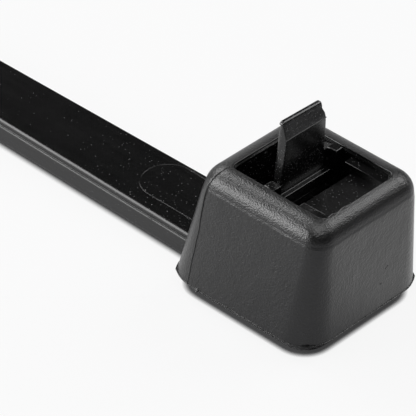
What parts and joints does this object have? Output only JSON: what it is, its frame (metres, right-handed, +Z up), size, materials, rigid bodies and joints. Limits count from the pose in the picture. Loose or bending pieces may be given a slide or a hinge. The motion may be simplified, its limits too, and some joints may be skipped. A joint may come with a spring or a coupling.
{
  "type": "releasable cable tie",
  "caption": "One-piece moulded plastic cable tie with a tall hollow head, an upright release lever above a toothed pawl, and a flat strap with teeth underneath.",
  "frame": {"origin": "on the base plane, under the middle of the strap slot", "axes": "+X from the strap towards the front of the head, +Y across the strap, +Z up the slot and out of the head, the way the tail leaves"},
  "size_m": [0.2, 0.0108, 0.0128],
  "materials": {
    "black_nylon": "eroded grain outside the head, gloss on the strap"
  },
  "bodies": {
    "root": {"cable_tie": "black_nylon"}
  },
  "joints": []
}
